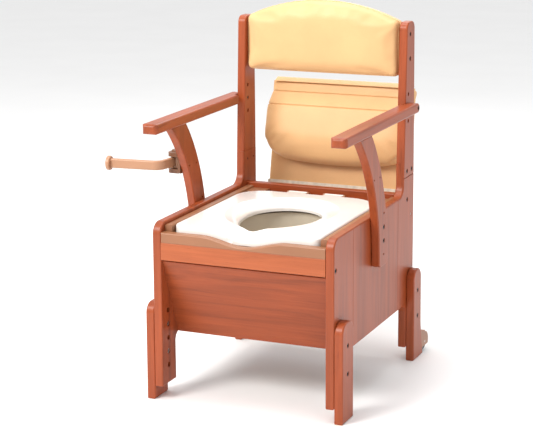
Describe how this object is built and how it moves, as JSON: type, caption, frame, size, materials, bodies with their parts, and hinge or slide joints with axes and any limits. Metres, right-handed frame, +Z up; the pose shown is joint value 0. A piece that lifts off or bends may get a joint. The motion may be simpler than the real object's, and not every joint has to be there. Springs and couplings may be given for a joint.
{
  "type": "commode chair",
  "caption": "Wooden bedside commode armchair with a two-part folding padded lid, lift-up toilet seat, bucket, padded arched back and swivelling paper holder.",
  "frame": {"origin": "centre of the whole part's bounding box at floor level", "axes": "+Z up, -Y to the front of the chair, +X to the viewer's right when facing it"},
  "size_m": [0.6624, 0.693, 0.898],
  "materials": {
    "wood": "satin varnish, reddish brown",
    "wood_rail": "satin varnish, lighter red-brown",
    "upholstery": "semi-gloss synthetic leather, tan beige",
    "brown_plastic": "satin moulded plastic",
    "white_plastic": "gloss moulded plastic",
    "ivory_plastic": "satin moulded plastic",
    "tan_plastic": "satin moulded plastic",
    "steel": "zinc-plated steel",
    "bolt_steel": "dark plated steel",
    "rubber": "matt rubber"
  },
  "bodies": {
    "frame": {"armrest_bolts": "bolt_steel", "armrest_left": "wood", "armrest_right": "wood", "armrest_strut_right": "wood", "armrest_strut_with_holder": "wood", "back_panel": "wood", "back_post_left": "wood", "back_post_right": "wood", "backrest_board": "wood", "backrest_bolts": "bolt_steel", "backrest_cushion": "upholstery", "bucket": "ivory_plastic", "caster_axles": "steel", "caster_brackets": "brown_plastic", "front_panel": "wood", "front_rail": "wood_rail", "front_stile_left": "wood", "front_stile_right": "wood", "front_trim": "brown_plastic", "leg_bolts": "bolt_steel", "leg_extension_front_left": "wood", "leg_extension_front_right": "wood", "leg_extension_rear_left": "wood", "leg_extension_rear_right": "wood", "lid_pivot_collars": "steel", "lid_pivot_pins": "steel", "paper_bracket": "tan_plastic", "paper_pin": "tan_plastic", "paper_screws": "steel", "post_bolts": "bolt_steel", "rail_bolts": "bolt_steel", "rear_rail": "wood", "rear_stile_left": "wood", "rear_stile_right": "wood", "seat_hinge_pins": "steel", "seat_tray": "brown_plastic", "side_panel_left": "wood", "side_panel_right": "wood", "strut_bolts": "bolt_steel", "threaded_inserts": "steel", "tray_battens": "wood"},
    "lid_rear": {"lid_rear_board": "upholstery", "lid_rear_cushion": "upholstery", "lid_hinge_arms": "steel", "lid_hinge_bar": "steel", "lid_bar_pads": "rubber", "fold_leaves_rear": "steel", "fold_pins": "steel", "fold_pads": "rubber"},
    "lid_front": {"lid_front_board": "upholstery", "lid_front_cushion": "upholstery", "fold_leaves_front": "steel"},
    "toilet_seat": {"toilet_seat": "white_plastic", "seat_buffers": "rubber"},
    "bucket_handle": {"bucket_handle": "steel"},
    "holder_arm": {"paper_arm": "tan_plastic"},
    "caster_wheel_left": {"caster_wheel_left": "rubber"},
    "caster_wheel_right": {"caster_wheel_right": "rubber"}
  },
  "joints": [
    {"name": "lid_hinge", "type": "hinge", "parent": "frame", "child": "lid_rear", "pos_m": [0.08123, 0.18346, 0.3695], "axis": [1, 0, 0], "range_deg": [0, 101.5]},
    {"name": "lid_fold", "type": "hinge", "parent": "lid_rear", "child": "lid_front", "pos_m": [0.08123, 0.30615, 0.66905], "axis": [1, 0, 0], "range_deg": [-180, 0]},
    {"name": "toilet_seat_hinge", "type": "hinge", "parent": "frame", "child": "toilet_seat", "pos_m": [0.08123, 0.11346, 0.41], "axis": [1, 0, 0], "range_deg": [-88, 0]},
    {"name": "bucket_handle_swing", "type": "hinge", "parent": "frame", "child": "bucket_handle", "pos_m": [0.08123, -0.12854, 0.391], "axis": [1, 0, 0], "range_deg": [-88, 0]},
    {"name": "paper_holder_swivel", "type": "hinge", "parent": "frame", "child": "holder_arm", "pos_m": [-0.18477, -0.12554, 0.526], "axis": [0, 0, 1], "range_deg": [-90, 15]},
    {"name": "caster_left_spin", "type": "hinge", "parent": "frame", "child": "caster_wheel_left", "pos_m": [-0.15327, 0.24646, 0.0245], "axis": [1, 0, 0], "continuous": true},
    {"name": "caster_right_spin", "type": "hinge", "parent": "frame", "child": "caster_wheel_right", "pos_m": [0.31573, 0.24646, 0.0245], "axis": [1, 0, 0], "continuous": true}
  ],
  "couplings": [
    {"joint": "lid_fold", "follows": "lid_hinge", "ratio": -1.7733},
    {"joint": "bucket_handle_swing", "follows": "toilet_seat_hinge", "ratio": 1}
  ]
}
